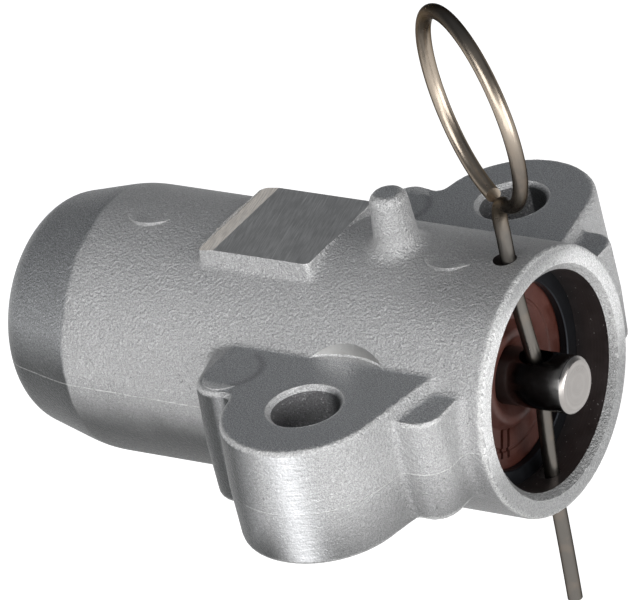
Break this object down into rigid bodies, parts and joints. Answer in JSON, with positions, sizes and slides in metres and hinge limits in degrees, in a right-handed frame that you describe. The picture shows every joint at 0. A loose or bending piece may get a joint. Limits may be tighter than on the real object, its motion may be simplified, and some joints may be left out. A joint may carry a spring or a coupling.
{
  "type": "timing belt tensioner",
  "caption": "Hydraulic timing belt tensioner: cast barrel with bolted ears, sprung push rod behind an oil seal, and a wire set pin with a pull ring.",
  "frame": {"origin": "midway between the two mounting holes, on the barrel's axis", "axes": "+X along the push rod, out of the barrel; +Y towards one mounting hole; +Z along the mounting holes, towards the stub"},
  "size_m": [0.0906, 0.0784, 0.0932],
  "materials": {
    "cast_aluminium": "shot blasted die casting",
    "turned_steel": "ground",
    "ball_steel": "polished",
    "spring_steel": "oiled",
    "rod_steel": "hardened and ground, turned end",
    "guide_plastic": "moulded",
    "seal_rubber": "moulded, oily",
    "ring_steel": "blackened",
    "wire_steel": "drawn wire"
  },
  "bodies": {
    "housing": {"housing": "cast_aluminium", "sleeve": "turned_steel", "oil_seal": "seal_rubber", "garter_spring": "spring_steel", "retaining_ring": "ring_steel", "return_spring": "spring_steel"},
    "rod": {"push_rod": "rod_steel", "wear_ring": "guide_plastic", "wear_ring_clip": "spring_steel", "plunger": "turned_steel", "check_ball": "ball_steel", "check_ball_spring": "spring_steel", "check_valve_cage": "turned_steel"},
    "pin": {"set_pin": "wire_steel"}
  },
  "joints": [
    {"name": "pin_pull", "type": "slide", "parent": "housing", "child": "pin", "axis": [0, 0, 1], "range_m": [0, 0.058]},
    {"name": "rod_slide", "type": "slide", "parent": "housing", "child": "rod", "axis": [1, 0, 0], "range_m": [-0.0015, 0], "stiffness_N_per_m": 6000, "deforming": ["return_spring"]}
  ]
}
